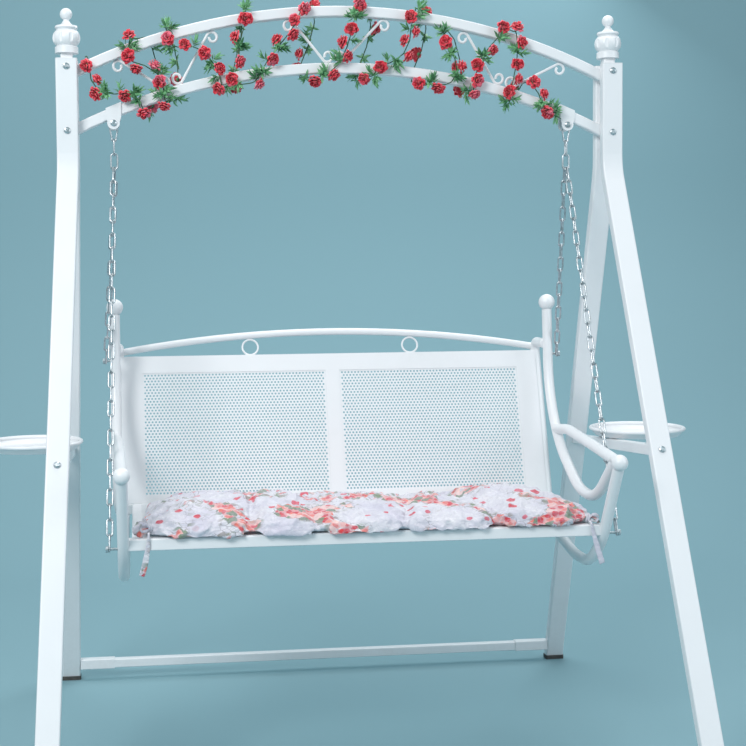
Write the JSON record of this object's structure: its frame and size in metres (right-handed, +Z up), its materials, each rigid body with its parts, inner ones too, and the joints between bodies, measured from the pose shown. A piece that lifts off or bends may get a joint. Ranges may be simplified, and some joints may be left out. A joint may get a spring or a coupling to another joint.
{
  "type": "garden_swing",
  "caption": "White steel garden swing seat on chains under an arched A-frame stand with scrolls, side trays, a floral cushion and a rose garland.",
  "frame": {"origin": "bottom centre of the whole swing's bounding box, on the floor", "axes": "+X to the right in the picture, +Y from the front to the back, +Z up"},
  "size_m": [1.742, 1.2026, 1.8011],
  "materials": {
    "white_steel": "satin",
    "galvanised_steel": "satin",
    "black_rubber": "matte",
    "white_plastic": "satin",
    "floral_fabric": "matte",
    "vine_wire": "matte",
    "rose_fabric": "matte",
    "leaf_fabric": "matte"
  },
  "bodies": {
    "stand": {"end_post_left": "white_steel", "end_post_right": "white_steel", "finial_left": "white_steel", "finial_right": "white_steel", "front_leg_left": "white_steel", "front_leg_right": "white_steel", "garland_vine": "vine_wire", "hanger_bolts": "galvanised_steel", "hanger_bracket_left": "white_steel", "hanger_bracket_right": "white_steel", "hanger_loop_left": "galvanised_steel", "hanger_loop_right": "galvanised_steel", "leg_bolts": "galvanised_steel", "leg_top_caps": "white_plastic", "lower_beam": "white_steel", "rear_leg_left": "white_steel", "rear_leg_right": "white_steel", "rear_tie_bar": "white_steel", "rose_blooms": "rose_fabric", "rose_leaves": "leaf_fabric", "rubber_feet": "black_rubber", "scroll_rods_left": "white_steel", "scroll_rods_middle": "white_steel", "scroll_rods_right": "white_steel", "tie_bar_sleeves": "white_steel", "tray_bar_bolts": "galvanised_steel", "tray_bar_left": "white_steel", "tray_bar_right": "white_steel", "tray_left": "white_steel", "tray_posts": "white_steel", "tray_right": "white_steel", "upper_beam": "white_steel"},
    "swing": {"arch_rings": "white_steel", "arm_bolts": "galvanised_steel", "arm_tube_left": "white_steel", "arm_tube_right": "white_steel", "back_arch": "white_steel", "back_mesh": "white_steel", "back_panel": "white_steel", "back_top_rail": "white_steel", "back_upright_left": "white_steel", "back_upright_right": "white_steel", "chain_anchor_bolts": "galvanised_steel", "cushion_ties": "floral_fabric", "front_chain_left": "galvanised_steel", "front_chain_right": "galvanised_steel", "front_post_left": "white_steel", "front_post_right": "white_steel", "rear_chain_left": "galvanised_steel", "rear_chain_right": "galvanised_steel", "s_tube_left": "white_steel", "s_tube_right": "white_steel", "seat_cross_rails": "white_steel", "seat_cushion": "floral_fabric", "seat_front_rail": "white_steel", "seat_mesh": "white_steel", "seat_rear_rail": "white_steel", "tube_balls": "white_steel", "upper_chain_links": "galvanised_steel"}
  },
  "joints": [
    {"name": "seat_swing", "type": "hinge", "parent": "stand", "child": "swing", "pos_m": [0, 0, 1.4485], "axis": [1, 0, 0], "range_deg": [-20, 20]}
  ]
}
